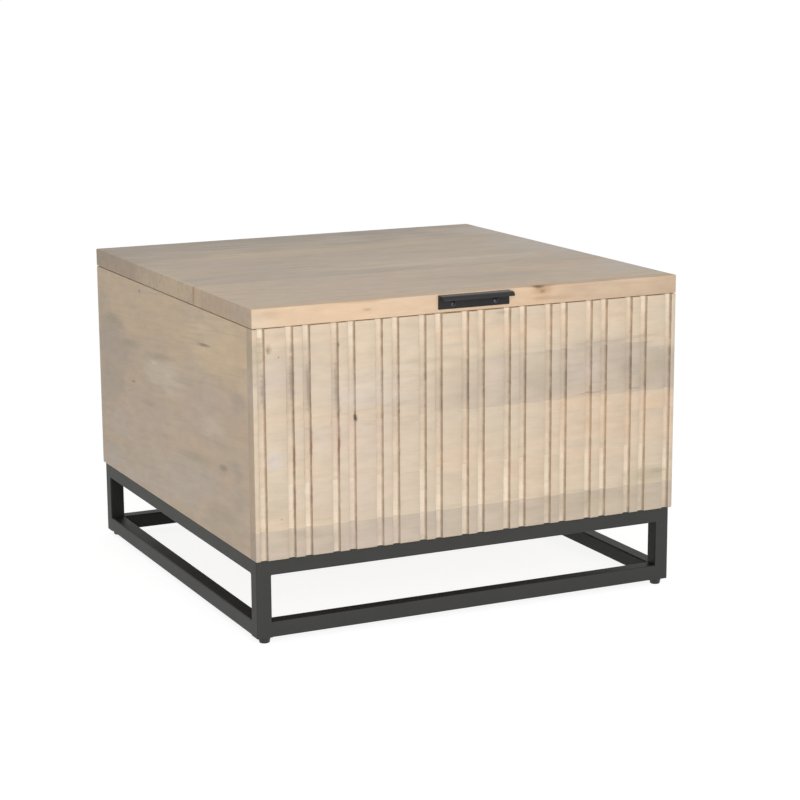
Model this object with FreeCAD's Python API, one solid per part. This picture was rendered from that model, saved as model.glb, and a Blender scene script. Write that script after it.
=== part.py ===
import FreeCAD, Part
import math
import os

# Storage coffee table: a square wooden chest with a grooved front and a hinged lid,
# standing on a low frame of square steel tube. All sizes are in millimetres.
# X runs to the right along the front, -Y is the front and +Z is up.
# The origin is on the floor, under the middle of the table.

# Overall plan
table_width = 600.0           # along the front
table_depth = 600.0           # front to back

# Lid
lid_thickness = 24.0
lid_gap = 1.0                 # between the walls and the closed lid
lid_board_count = 6           # boards glued edge to edge, from front to back

# Walls of the chest
front_board_1_height = 37.0   # the front is glued up from five boards, counted from the bottom
front_board_2_height = 55.0
front_board_3_height = 72.0
front_board_4_height = 66.0
front_board_5_height = 60.0
wall_board_count = 3          # boards in each side wall and in the back
front_thickness = 18.0
side_thickness = 18.0
back_thickness = 18.0
edge_ease = 1.2               # rounding of the outer wooden edges

# Grooves of the front, in pairs
groove_width = 10.0
groove_depth = 5.0
groove_corner = 3.0           # rounding along both sides of a groove's floor
wide_slat = 27.5              # between the two grooves of a pair
narrow_slat = 12.5            # between one pair and the next

# Bottom panel, let into the lower inside edge of the walls
bottom_thickness = 9.0
bottom_rabbet = 8.0           # how far its rim runs under the walls
bottom_fit = 0.3

# Dowels in the corners of the chest
dowel_diameter = 8.0
dowel_length = 30.0
dowel_skin = 4.0              # wood left beyond a dowel's end
dowel_fit = 0.05              # all round a dowel

# Rubber buttons that the lid closes on
bumper_diameter = 8.0
bumper_inset = 40.0           # from the sides of the table

# Steel frame
frame_height = 100.0
tube_size = 20.0
tube_wall = 1.5
tube_corner = 2.0             # outer corner radius of the tube
least_corner = 0.3            # smallest corner radius inside the tube
frame_side_inset = 1.8        # frame behind the side walls
frame_front_inset = 5.0       # frame behind the front and the back

# Welded tabs that hold the chest on the frame
tab_width = 40.0
tab_reach = 25.0
tab_thickness = 3.0
tab_spacing = 300.0           # between the two tabs of a rail

# Levelling feet
foot_height = 8.0
foot_top_diameter = 16.0
foot_bottom_diameter = 13.0
foot_edge_round = 1.5
foot_inset = 3.0              # feet inward of the legs' middle lines, along the front
foot_floor = 3.0              # plastic under the stud
stud_diameter = 6.0
stud_engagement = 22.0        # stud inside the leg
stud_fit = 0.05               # all round the stud
insert_depth = 25.0
insert_fit = 0.1              # between the insert and the tube

# Stop hinges on the back
hinge_length = 60.0
hinge_inset = 80.0            # from the sides of the table
leaf_thickness = 2.0
leaf_setback = 1.5            # leaf edge behind the inside of the back
leaf_gap = 0.4                # between the closed leaves
leaf_screw_edge = 10.0        # from the leaf's ends to its outer screws
leaf_screw_count = 3
mortise_fit = 0.3
barrel_diameter = 8.4
barrel_standoff = 1.0         # barrel behind the back of the table
knuckle_count = 5
knuckle_gap = 0.3
pin_diameter = 4.0
pin_fit = 0.05                # all round the pin
pin_head_diameter = 6.4
pin_head_thickness = 1.0
stop_angle = 100.0            # degrees, lid wide open
stop_play = 1.5               # degrees left between the stops
stop_sweep = 40.0             # degrees, width of each stop
stop_reach = 4.0              # stop beyond the barrel

# Edge pull on the lid
pull_length = 100.0
pull_height = 18.0
pull_projection = 17.5
pull_thickness = 2.5
pull_tip_radius = 5.5         # outer radius of the turned-down lip
pull_bend_radius = 1.5        # inside radius between the plate and the lip
pull_drop = 1.3               # below the top of the lid
pull_screw_spacing = 60.0
pull_screw_rise = 6.0         # above the lower edge of the plate

# Screws
hinge_screw_diameter = 3.0
hinge_screw_length = 16.0
pull_screw_diameter = 3.5
pull_screw_length = 20.0
frame_screw_diameter = 4.0
frame_screw_skin = 2.0        # wood left above the frame screws
bottom_screw_diameter = 3.0
bottom_screw_bite = 14.0      # bottom screws inside the walls
bottom_screw_spacing = 200.0
screw_fit = 0.05              # all round a screw
head_ratio = 1.9              # head diameter over shank diameter
head_height_ratio = 0.55      # head height over shank diameter
point_ratio = 1.5             # point length over shank diameter
rim_share = 0.35              # upright rim of a round head, of its height
crown_share = 0.65            # flat crown of a round head, of its diameter

# Levels
frame_top = foot_height + frame_height
front_board_heights = [
    front_board_1_height,
    front_board_2_height,
    front_board_3_height,
    front_board_4_height,
    front_board_5_height,
]
wall_height = sum(front_board_heights)
wall_top = frame_top + wall_height
lid_bottom = wall_top + lid_gap
lid_top = lid_bottom + lid_thickness

# Faces of the chest
right_face = table_width / 2
left_face = -right_face
back_face = table_depth / 2
front_face = -back_face
right_inside = right_face - side_thickness
left_inside = -right_inside
front_inside = front_face + front_thickness
back_inside = back_face - back_thickness
wall_board_height = wall_height / wall_board_count

# Middle lines of the legs
leg_x = right_face - frame_side_inset - tube_size / 2
leg_y = back_face - frame_front_inset - tube_size / 2
SIDES = {"left": -1, "right": 1}
ENDS = {"front": -1, "back": 1}

# Hinge axis
barrel_radius = barrel_diameter / 2
hinge_y = back_face + barrel_standoff + barrel_radius
hinge_z = wall_top + lid_gap / 2
leaf_front = back_inside + leaf_setback

X = FreeCAD.Vector(1, 0, 0)
Y = FreeCAD.Vector(0, 1, 0)
Z = FreeCAD.Vector(0, 0, 1)


def block(x0, x1, y0, y1, z0, z1):
    """A block between two opposite corners."""
    return Part.makeBox(x1 - x0, y1 - y0, z1 - z0, FreeCAD.Vector(x0, y0, z0))


def eased_block(x0, x1, y0, y1, z0, z1):
    """A wooden block with all its edges lightly rounded."""
    solid = block(x0, x1, y0, y1, z0, z1)
    return solid.makeFillet(edge_ease, solid.Edges)


def one_solid(shape):
    """The single solid that a cut or a fusion leaves, without seams between coplanar faces."""
    return shape.removeSplitter().Solids[0]


def pointed(solid, base, direction):
    """A solid made along +Z, set down at base and pointed along direction."""
    placed = solid.copy()
    placed.Placement = FreeCAD.Placement(base, FreeCAD.Rotation(Z, direction))
    return placed


def turned(profile):
    """A round solid about Z, from (radius, height) points that start and end on the axis."""
    points = [FreeCAD.Vector(radius, 0, height) for radius, height in profile]
    outline = Part.makePolygon(points + points[:1])
    return Part.Face(outline).revolve(FreeCAD.Vector(0, 0, 0), Z, 360)


def flat_screw(diameter, length, grow=0.0):
    """A countersunk screw along +Z with its head flush at 0; grow makes its hole."""
    shank = diameter / 2 + grow
    head = diameter * head_ratio / 2 + grow
    sunk = diameter * head_height_ratio
    end = length + grow
    point = diameter * point_ratio
    return turned([(0, 0), (head, 0), (shank, sunk), (shank, end - point), (0, end)])


def round_screw(diameter, length, grow=0.0):
    """A round-headed screw along +Z with its head standing under 0; grow makes its hole."""
    shank = diameter / 2 + grow
    head = diameter * head_ratio / 2 + grow
    proud = diameter * head_height_ratio
    end = length + grow
    point = diameter * point_ratio
    rim = (head, -proud * rim_share)
    crown = (head * crown_share, -proud)
    return turned([(0, -proud), crown, rim, (head, 0), (shank, 0), (shank, end - point), (0, end)])


def square_bar(side, length, corner):
    """A square bar along +Z, centred on the axis, with rounded long edges."""
    half = side / 2
    bar = block(-half, half, -half, half, 0, length)
    long_edges = [edge for edge in bar.Edges if edge.BoundBox.ZLength > length / 2]
    return bar.makeFillet(corner, long_edges)


tube_bore = tube_size - 2 * tube_wall
tube_bore_corner = max(tube_corner - tube_wall, least_corner)


def tube_hollow(length):
    """The space inside a tube."""
    return square_bar(tube_bore, length, tube_bore_corner)


def square_tube(length):
    """A square steel tube along +Z."""
    return square_bar(tube_size, length, tube_corner).cut(tube_hollow(length))


def save(name, shape):
    """Write one sub-part under its name."""
    shape.exportStep("parts/" + name + ".step")


def save_group(name, solids):
    """Write several like solids as one sub-part."""
    save(name, Part.makeCompound(solids))


def groove_cutters():
    """Round-cornered blocks that mill the vertical grooves of the front, in pairs centred on the width."""
    period = 2 * groove_width + wide_slat + narrow_slat
    pairs = int(table_width / period + 1e-6)
    margin = (table_width - pairs * period + narrow_slat) / 2
    floor = front_face + groove_depth
    cutters = []
    for pair in range(pairs):
        first = left_face + margin + pair * period
        for start in (first, first + groove_width + wide_slat):
            cutter = block(start, start + groove_width, front_face - edge_ease, floor, frame_top, wall_top)
            upright = [edge for edge in cutter.Edges if edge.BoundBox.ZLength > wall_height / 2]
            floor_edges = [edge for edge in upright if edge.BoundBox.YMin > front_face]
            cutters.append(cutter.makeFillet(groove_corner, floor_edges))
    return cutters


def dowel_places():
    """(start point, direction) of each corner dowel, one per wall board and corner."""
    places = []
    side_middle = right_face - side_thickness / 2
    back_middle = back_face - back_thickness / 2
    front_end = front_face + groove_depth + dowel_skin
    side_end = right_face - dowel_skin
    for board in range(wall_board_count):
        height = frame_top + (board + 0.5) * wall_board_height
        for side in SIDES.values():
            places.append((FreeCAD.Vector(side * side_middle, front_end, height), Y))
            places.append((FreeCAD.Vector(side * side_end, back_middle, height), X * -side))
    return places


def dowels(grow=0.0):
    """The corner dowels, or their holes when grow is the clearance."""
    pin = Part.makeCylinder(dowel_diameter / 2 + grow, dowel_length + 2 * grow)
    return [pointed(pin, start - direction * grow, direction) for start, direction in dowel_places()]


def bottom_screws(grow=0.0):
    """Screws up through the rim of the bottom panel into the walls, or their holes."""
    rim_x = right_inside + bottom_rabbet / 2
    rim_front = front_inside - bottom_rabbet / 2
    rim_back = back_inside + bottom_rabbet / 2
    pattern = flat_screw(bottom_screw_diameter, bottom_thickness + bottom_screw_bite, grow)
    screws = []
    for step in (-1, 0, 1):
        along = step * bottom_screw_spacing
        for x, y in ((along, rim_front), (along, rim_back), (-rim_x, along), (rim_x, along)):
            screws.append(pointed(pattern, FreeCAD.Vector(x, y, frame_top), Z))
    return screws


def tab_places():
    """(middle point, lies on a side rail) of each tab, inside the upper rails."""
    inner_x = leg_x - tube_size / 2 - tab_reach / 2
    inner_y = leg_y - tube_size / 2 - tab_reach / 2
    places = []
    for step in (-1, 1):
        along = step * tab_spacing / 2
        for sign in (-1, 1):
            places.append((FreeCAD.Vector(along, sign * inner_y, frame_top - tab_thickness), False))
            places.append((FreeCAD.Vector(sign * inner_x, along, frame_top - tab_thickness), True))
    return places


def frame_screws(grow=0.0):
    """Screws up through the tabs into the bottom panel, or their holes."""
    length = tab_thickness + bottom_thickness - frame_screw_skin
    pattern = round_screw(frame_screw_diameter, length, grow)
    return [pointed(pattern, middle, Z) for middle, _ in tab_places()]


def hinge_starts():
    """The left end of each hinge along X."""
    inner = right_face - hinge_inset - hinge_length
    return {"left": -inner - hinge_length, "right": inner}


def leaf_screws(level, direction, grow=0.0):
    """Screws of the leaves on one side of the joint, or their holes."""
    pattern = flat_screw(hinge_screw_diameter, hinge_screw_length, grow)
    middle = (leaf_front + back_face) / 2
    pitch = (hinge_length - 2 * leaf_screw_edge) / (leaf_screw_count - 1)
    screws = []
    for start in hinge_starts().values():
        for step in range(leaf_screw_count):
            x = start + leaf_screw_edge + step * pitch
            screws.append(pointed(pattern, FreeCAD.Vector(x, middle, level), direction))
    return screws


def box_leaf_screws(grow=0.0):
    """Screws down into the top edge of the back, or their holes."""
    return leaf_screws(hinge_z - leaf_gap / 2, -Z, grow)


def lid_leaf_screws(grow=0.0):
    """Screws up into the lid, or their holes."""
    return leaf_screws(hinge_z + leaf_gap / 2, Z, grow)


def ring_sector(inner, outer, start, sweep, x0, x1):
    """A piece of a ring about the hinge pin, between two angles counted from +Y towards +Z."""

    def spot(radius, share):
        angle = math.radians(start + sweep * share)
        return FreeCAD.Vector(x0, radius * math.cos(angle), radius * math.sin(angle))

    edges = [
        Part.LineSegment(spot(inner, 0), spot(outer, 0)).toShape(),
        Part.Arc(spot(outer, 0), spot(outer, 0.5), spot(outer, 1)).toShape(),
        Part.LineSegment(spot(outer, 1), spot(inner, 1)).toShape(),
        Part.Arc(spot(inner, 1), spot(inner, 0.5), spot(inner, 0)).toShape(),
    ]
    return Part.Face(Part.Wire(edges)).extrude(X * (x1 - x0))


def hinge_leaf(start, sign):
    """A hinge leaf with its knuckles and stop: sign 1 for the lid's, -1 for the box's."""
    inner = sign * leaf_gap / 2
    outer = sign * (leaf_gap / 2 + leaf_thickness)
    low = min(inner, outer)
    high = max(inner, outer)
    clear = barrel_radius + knuckle_gap
    reach = barrel_radius + stop_reach
    stop_start = sign * (stop_angle + stop_play) / 2
    pieces = [
        block(0, hinge_length, leaf_front - hinge_y, -clear, low, high),
        ring_sector(clear, reach, stop_start, sign * stop_sweep, 0, hinge_length),
    ]
    knuckle = (hinge_length - (knuckle_count - 1) * knuckle_gap) / knuckle_count
    first = 1 if sign > 0 else 0
    for station in range(first, knuckle_count, 2):
        x0 = station * (knuckle + knuckle_gap)
        x1 = x0 + knuckle
        pieces.append(Part.makeCylinder(barrel_radius, knuckle, FreeCAD.Vector(x0, 0, 0), X))
        pieces.append(block(x0, x1, -clear, 0, low, high))
        pieces.append(ring_sector(pin_diameter, reach, stop_start, sign * stop_sweep, x0, x1))
    leaf = pieces[0].fuse(pieces[1:])
    bore = Part.makeCylinder(pin_diameter / 2 + pin_fit, hinge_length, FreeCAD.Vector(0, 0, 0), X)
    leaf = one_solid(leaf.cut(bore))
    leaf.translate(FreeCAD.Vector(start, hinge_y, hinge_z))
    holes = lid_leaf_screws(screw_fit) if sign > 0 else box_leaf_screws(screw_fit)
    return one_solid(leaf.cut(holes))


def hinge_pin(start):
    """The pin of one hinge, headed at both ends."""
    shank = pin_diameter / 2
    head = pin_head_diameter / 2
    end = hinge_length + pin_head_thickness
    pin = turned([
        (0, -pin_head_thickness),
        (head, -pin_head_thickness),
        (head, 0),
        (shank, 0),
        (shank, hinge_length),
        (head, hinge_length),
        (head, end),
        (0, end),
    ])
    return pointed(pin, FreeCAD.Vector(start, hinge_y, hinge_z), X)


def mortises():
    """Recesses for the leaves in the lid and in the top edge of the back."""
    depth = leaf_gap / 2 + leaf_thickness
    recesses = []
    for start in hinge_starts().values():
        recesses.append(
            block(
                start - mortise_fit,
                start + hinge_length + mortise_fit,
                leaf_front - mortise_fit,
                hinge_y,
                hinge_z - depth,
                hinge_z + depth,
            )
        )
    return recesses


def pull_screws(grow=0.0):
    """Screws through the pull's plate into the lid's front edge, or their holes."""
    height = lid_top - pull_drop - pull_height + pull_screw_rise
    pattern = round_screw(pull_screw_diameter, pull_screw_length, grow)
    seat = front_face - pull_thickness
    return [
        pointed(pattern, FreeCAD.Vector(sign * pull_screw_spacing / 2, seat, height), Y)
        for sign in (-1, 1)
    ]


def lid_pull():
    """A bent plate on the lid's front edge, with a lip that turns down at its tip."""
    top = lid_top - pull_drop
    bottom = top - pull_height

    def spot(out, height):
        return FreeCAD.Vector(-pull_length / 2, front_face - out, height)

    def arc(centre_out, centre_height, radius, start):
        """A quarter circle that turns clockwise from start, counted from outwards to up."""
        ends = []
        for share in (0, 0.5, 1):
            angle = math.radians(start - 90 * share)
            out = centre_out + radius * math.cos(angle)
            height = centre_height + radius * math.sin(angle)
            ends.append(spot(out, height))
        return Part.Arc(*ends).toShape()

    tip = pull_projection - pull_tip_radius
    under = top - pull_thickness
    inner_tip = pull_tip_radius - pull_thickness
    bend_out = pull_thickness + pull_bend_radius
    bend_down = under - pull_bend_radius
    tip_level = top - pull_tip_radius
    edges = [
        Part.LineSegment(spot(0, bottom), spot(0, top)).toShape(),
        Part.LineSegment(spot(0, top), spot(tip, top)).toShape(),
        arc(tip, tip_level, pull_tip_radius, 90),
        Part.LineSegment(
            spot(pull_projection, tip_level), spot(pull_projection - pull_thickness, tip_level)
        ).toShape(),
        arc(tip, tip_level, inner_tip, 90),
        Part.LineSegment(spot(tip, under), spot(bend_out, under)).toShape(),
        arc(bend_out, bend_down, pull_bend_radius, 180),
        Part.LineSegment(spot(pull_thickness, bend_down), spot(pull_thickness, bottom)).toShape(),
        Part.LineSegment(spot(pull_thickness, bottom), spot(0, bottom)).toShape(),
    ]
    outline = Part.Wire(Part.__sortEdges__(edges))
    return one_solid(Part.Face(outline).extrude(X * pull_length).cut(pull_screws(screw_fit)))


def make_lid():
    """The glued-up lid, its pull and the lid side of the hinges."""
    lid = eased_block(left_face, right_face, front_face, back_face, lid_bottom, lid_top)
    holes = mortises() + lid_leaf_screws(screw_fit) + pull_screws(screw_fit)
    lid = lid.cut(holes)
    board_width = table_depth / lid_board_count
    for board in range(lid_board_count):
        y0 = front_face + board * board_width
        slab = block(left_face, right_face, y0, y0 + board_width, lid_bottom, lid_top)
        save("lid_board_%d" % (board + 1), one_solid(lid.common(slab)))
    save("lid_pull", lid_pull())
    save_group("lid_pull_screws", pull_screws())
    save_group("hinge_lid_screws", lid_leaf_screws())


def make_chest():
    """The four glued-up walls, the bottom panel and what holds them together."""
    shell = eased_block(left_face, right_face, front_face, back_face, frame_top, wall_top)
    panel_left = left_inside - bottom_rabbet
    panel_right = right_inside + bottom_rabbet
    panel_front = front_inside - bottom_rabbet
    panel_back = back_inside + bottom_rabbet
    panel_top = frame_top + bottom_thickness
    rabbet = block(panel_left, panel_right, panel_front, panel_back, frame_top, panel_top)
    holes = [rabbet] + mortises() + dowels(dowel_fit)
    holes += bottom_screws(screw_fit) + box_leaf_screws(screw_fit)
    shell = shell.cut(holes)

    def save_boards(name, x0, x1, y0, y1, heights, cutters=()):
        wall = shell.common(block(x0, x1, y0, y1, frame_top, wall_top))
        if cutters:
            wall = wall.cut(cutters)
        z0 = frame_top
        for number, height in enumerate(heights):
            slab = block(x0, x1, y0, y1, z0, z0 + height)
            save("%s_board_%d" % (name, number + 1), one_solid(wall.common(slab)))
            z0 += height

    even = [wall_board_height] * wall_board_count
    grooves = groove_cutters()
    save_boards("front", left_face, right_face, front_face, front_inside, front_board_heights, grooves)
    save_boards("left", left_face, left_inside, front_inside, back_face, even)
    save_boards("right", right_inside, right_face, front_inside, back_face, even)
    save_boards("back", left_inside, right_inside, back_inside, back_face, even)
    panel = block(
        panel_left + bottom_fit,
        panel_right - bottom_fit,
        panel_front + bottom_fit,
        panel_back - bottom_fit,
        frame_top,
        panel_top,
    )
    panel_holes = bottom_screws(screw_fit) + frame_screws(screw_fit)
    save("bottom_panel", one_solid(panel.cut(panel_holes)))
    save_group("corner_dowels", dowels())
    save_group("bottom_screws", bottom_screws())

    bumper_y = front_face + (groove_depth + front_thickness) / 2
    bumpers = []
    for side in SIDES.values():
        seat = FreeCAD.Vector(side * (right_face - bumper_inset), bumper_y, wall_top)
        bumpers.append(Part.makeCylinder(bumper_diameter / 2, lid_gap, seat))
    save_group("lid_bumpers", bumpers)


def make_hinges():
    """Two stop hinges: a leaf on the lid, a leaf on the back and a pin each."""
    for name, start in hinge_starts().items():
        save("hinge_%s_lid_leaf" % name, hinge_leaf(start, 1))
        save("hinge_%s_box_leaf" % name, hinge_leaf(start, -1))
        save("hinge_%s_pin" % name, hinge_pin(start))
    save_group("hinge_box_screws", box_leaf_screws())


def frame_leg(side, end):
    """A leg of square tube, with its rail joints welded full and ground flush."""
    half = tube_size / 2
    leg = square_bar(tube_size, frame_height, tube_corner)
    joints = []
    for level in (0, frame_height - tube_size):
        joint = block(-half, half, -half, half, level, level + tube_size)
        outer_edge = [
            edge
            for edge in joint.Edges
            if edge.BoundBox.ZLength > half
            and edge.CenterOfMass.x * side > 0
            and edge.CenterOfMass.y * end > 0
        ]
        joints.append(joint.makeFillet(tube_corner, outer_edge))
    leg = one_solid(leg.fuse(joints).cut(tube_hollow(frame_height)))
    leg.translate(FreeCAD.Vector(side * leg_x, end * leg_y, foot_height))
    return leg


def make_frame():
    """The welded frame of square tube and its tabs."""
    half = tube_size / 2
    rail_x = square_tube(2 * leg_x - tube_size)
    rail_y = square_tube(2 * leg_y - tube_size)
    for side_name, side in SIDES.items():
        for end_name, end in ENDS.items():
            save("frame_leg_%s_%s" % (end_name, side_name), frame_leg(side, end))
    for level_name, level in (("bottom", foot_height + half), ("top", frame_top - half)):
        for end_name, end in ENDS.items():
            start = FreeCAD.Vector(-leg_x + half, end * leg_y, level)
            save("frame_%s_rail_%s" % (level_name, end_name), pointed(rail_x, start, X))
        for side_name, side in SIDES.items():
            start = FreeCAD.Vector(side * leg_x, -leg_y + half, level)
            save("frame_%s_rail_%s" % (level_name, side_name), pointed(rail_y, start, Y))

    tabs = []
    for middle, on_side in tab_places():
        half_x = (tab_reach if on_side else tab_width) / 2
        half_y = (tab_width if on_side else tab_reach) / 2
        x = middle.x
        y = middle.y
        tab = block(x - half_x, x + half_x, y - half_y, y + half_y, middle.z, frame_top)
        tabs.append(one_solid(tab.cut(frame_screws(screw_fit))))
    save_group("frame_tabs", tabs)
    save_group("frame_screws", frame_screws())


def foot_pad():
    """A tapered plastic pad with a blind hole for its stud."""
    pad = Part.makeCone(foot_bottom_diameter / 2, foot_top_diameter / 2, foot_height)
    lower_rim = [edge for edge in pad.Edges if edge.BoundBox.ZMax < foot_height / 2]
    pad = pad.makeFillet(foot_edge_round, lower_rim)
    seat = FreeCAD.Vector(0, 0, foot_floor)
    return pad.cut(Part.makeCylinder(stud_diameter / 2 + stud_fit, foot_height, seat))


def make_feet():
    """Four screw-in levelling feet and the threaded inserts in the legs."""
    stud_length = foot_height - foot_floor + stud_engagement
    plug = square_bar(tube_bore - 2 * insert_fit, insert_depth, tube_bore_corner)
    inserts = []
    for side_name, side in SIDES.items():
        for end_name, end in ENDS.items():
            corner = "%s_%s" % (end_name, side_name)
            leg_point = FreeCAD.Vector(side * leg_x, end * leg_y, 0)
            floor_point = leg_point - X * (side * foot_inset)
            stud = Part.makeCylinder(stud_diameter / 2, stud_length, floor_point + Z * foot_floor)
            save("foot_pad_" + corner, pointed(foot_pad(), floor_point, Z))
            save("foot_stud_" + corner, stud)
            leg_end = Z * foot_height
            bore = Part.makeCylinder(stud_diameter / 2 + stud_fit, insert_depth, floor_point + leg_end)
            inserts.append(pointed(plug, leg_point + leg_end, Z).cut(bore))
    save_group("foot_inserts", inserts)


os.makedirs("parts", exist_ok=True)
make_lid()
make_chest()
make_hinges()
make_frame()
make_feet()
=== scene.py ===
"""Looks of a storage coffee table, dressed around its packed CAD frame. Lengths are in metres, apart
from the marks in the wood, which are placed in millimetres."""
import math
import random
from collections import namedtuple

import bmesh
import bpy
from bpy.props import FloatProperty, FloatVectorProperty, PointerProperty
from mathutils import Euler, Matrix, Vector, noise


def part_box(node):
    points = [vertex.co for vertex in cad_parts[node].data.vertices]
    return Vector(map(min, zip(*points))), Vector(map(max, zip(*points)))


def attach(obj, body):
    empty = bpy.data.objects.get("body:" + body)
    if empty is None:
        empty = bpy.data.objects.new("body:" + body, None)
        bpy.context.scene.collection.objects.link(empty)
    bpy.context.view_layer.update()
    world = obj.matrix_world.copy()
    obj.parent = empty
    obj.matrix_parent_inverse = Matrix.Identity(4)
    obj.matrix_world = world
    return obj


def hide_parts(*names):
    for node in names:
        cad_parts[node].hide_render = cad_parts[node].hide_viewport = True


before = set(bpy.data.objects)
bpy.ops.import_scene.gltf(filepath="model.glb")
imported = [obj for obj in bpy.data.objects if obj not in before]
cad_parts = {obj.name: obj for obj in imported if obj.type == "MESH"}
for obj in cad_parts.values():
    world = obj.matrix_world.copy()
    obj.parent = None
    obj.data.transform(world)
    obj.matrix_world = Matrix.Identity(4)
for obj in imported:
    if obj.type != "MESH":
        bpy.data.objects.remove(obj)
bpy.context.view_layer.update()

bl_info = {
    "name": "Storage coffee table",
    "version": (1, 0, 0),
    "blender": (4, 5, 0),
    "location": "3D View > Sidebar > Table",
    "description": "Dresses the packed table: limed mango boards, powder-coated steel, hinges and feet",
    "category": "Object",
}

MM = 0.001
X, Y, Z = 0, 1, 2
CORNERS = ("front_left", "front_right", "back_left", "back_right")
SIDES = ("left", "right")
SMOOTH_ANGLE = math.radians(50)  # sharper edges than this stay crisp

# Sockets of a colour Mix node, which Blender knows only by number
FACTOR = 0
COLOUR_A = 6
COLOUR_B = 7
MIXED = 2


def linear(code):
    """Linear RGBA of an sRGB hex colour."""
    channels = [int(code[i:i + 2], 16) / 255 for i in (0, 2, 4)]
    return [c / 12.92 if c <= 0.04045 else ((c + 0.055) / 1.055) ** 2.4 for c in channels] + [1.0]


WHITE = linear("FFFFFF")


def colour(name, about, code):
    """A colour setting with an sRGB hex value as its default."""
    return FloatVectorProperty(
        name=name, description=about, subtype="COLOR", size=4, min=0, max=1, default=linear(code)
    )


def length(name, about, millimetres):
    """A length setting whose default is given in millimetres."""
    return FloatProperty(
        name=name, description=about, unit="LENGTH", precision=5, min=0, default=millimetres * MM
    )


def share(name, about, default):
    """A setting between none and all."""
    return FloatProperty(name=name, description=about, subtype="FACTOR", min=0, max=1, default=default)


def position(name, about, default):
    """A setting for where something stands."""
    return FloatVectorProperty(name=name, description=about, subtype="TRANSLATION", default=default)


class WoodLooks(bpy.types.PropertyGroup):
    """Colours and grain of the limed mango boards."""

    sapwood: colour("Sapwood", "Pale cream of most boards", "E2D0B8")
    rose: colour("Rose", "Warmer blotches in the sapwood", "EACBAA")
    heartwood: colour("Heartwood", "Grey-brown of the heartwood", "CABBAA")
    pore: colour("Pores", "Open pores and fine fibre lines", "8E745C")
    end_grain: colour("End grain", "Where a cut crosses the fibres", "AD8F73")
    honey: colour("Honey", "Golden patches", "F2D7B0")
    mauve: colour("Mauve", "Pinkish grey patches", "DFCBBD")
    chalk: colour("Chalk", "Cool pale patches, where more lime has stayed", "DDD2C6")
    olive: colour("Olive", "Greenish grey shadows in the heartwood", "BFB196")
    # Painted shade as well: it darkens the groove walls and the curves into them, where shade falls in the
    # grooves
    burn: colour("Cutter burn", "Groove walls, browned by the cutter", "8A7A68")
    milled: colour("Milled floor", "Groove floors, freshly cut", "FDEED8")
    knot: colour("Knot", "Knots and bark flecks", "4A3527")
    stain: colour("Stain", "Tan stains round the knots", "A67C55")
    rust: colour("Rust", "Reddish gum streaks", "8A4A34")
    ash: colour("Ash", "Grey smudges", "8C8278")
    ring_spacing: length("Ring spacing", "Distance between growth rings", 14)
    blotch_length: length("Blotch length", "Warm blotches, along the grain", 150)
    blotch_width: length("Blotch width", "Warm blotches, across the grain", 60)
    heart_length: length("Heart length", "Heartwood clouds, along the grain", 190)
    heart_width: length("Heart width", "Heartwood clouds, across the grain", 42)
    streak_length: length("Streak length", "Thin brown streaks, along the grain", 120)
    streak_width: length("Streak width", "Thin brown streaks, across the grain", 6)
    fibre_length: length("Fibre length", "Fibre lines, along the grain", 45)
    fibre_width: length("Fibre width", "Fibre lines, across the grain", 2.2)
    mottle_length: length("Mottle length", "Faint mottle, along the grain", 30)
    mottle_width: length("Mottle width", "Faint mottle, across the grain", 10)
    mottle_depth: share("Mottle depth", "How much lighter or darker the mottle is", 0.05)
    pore_length: length("Pore length", "Pores, along the grain", 14)
    pore_width: length("Pore width", "Pores, across the grain", 1.3)


class FrontSizes(bpy.types.PropertyGroup):
    """The milled grooves of the front."""

    groove_width: length("Groove width", "Width of a groove", 10)
    groove_depth: length("Groove depth", "Depth of a groove", 5)
    wide_slat: length("Wide slat", "Slat between the two grooves of a pair", 27.5)
    narrow_slat: length("Narrow slat", "Slat between one pair and the next", 12.5)
    edge_ease: length("Edge ease", "Rounding of the outer edges", 1.2)
    arris: length("Arris", "Rounding of the groove edges", 0.35)
    cutter_radius: length("Cutter radius", "Rounding in the corners of the groove floors", 3)
    chip: length("Chips", "Deepest chip in the groove edges", 2.6)
    chip_spacing: length("Chip spacing", "Usual distance between chips", 7)
    row_step: length("Row step", "Distance between rows of points", 2.2)
    rabbet_depth: length("Rabbet depth", "Rabbet for the bottom panel, into the wall", 8)
    rabbet_height: length("Rabbet height", "Rabbet for the bottom panel, up the wall", 9)


class PullSizes(bpy.types.PropertyGroup):
    """The bent plate on the lid's front edge."""

    thickness: length("Thickness", "Thickness of the plate", 2.5)
    tip_radius: length("Tip radius", "Outer radius of the turned-down lip", 5.5)
    bend_radius: length("Bend radius", "Inside radius between plate and lip", 1.5)
    edge_round: length("Edge round", "Rounding of the coated edges", 0.45)


class SteelLooks(bpy.types.PropertyGroup):
    """Colours of the metal and plastic pieces."""

    frame_coat: colour("Frame coat", "Charcoal powder coat", "40403E")
    pull_coat: colour("Pull coat", "Black powder coat", "1E1C1E")
    black_oxide: colour("Black oxide", "Blackened screw heads", "5C5C60")
    zinc: colour("Zinc", "Zinc plating", "BFC1BF")
    plastic: colour("Foot plastic", "Moulded black plastic", "1E1E1E")
    rubber: colour("Rubber", "Lid buttons", "B5B0A6")
    coat_bloom: colour("Coat bloom", "Paler clouds in the powder coat", "5A5855")
    # Painted highlight on the front of the pull's lip, where light from above falls, and finger wear as well
    lip_highlight_and_wear: colour("Rubbed coat", "Where fingers have rubbed the pull", "646264")
    # Painted shade: the frame's inward and up-facing faces are painted this dark, where the chest and the
    # frame shade them
    painted_inner_shade: colour("Thin coat", "Faces that the spray hardly reaches", "121212")
    coat_grain: length("Coat grain", "Orange peel of the powder coat", 2.5)
    coat_cloud: length("Coat clouds", "Soft changes of gloss in the powder coat", 60)


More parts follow.
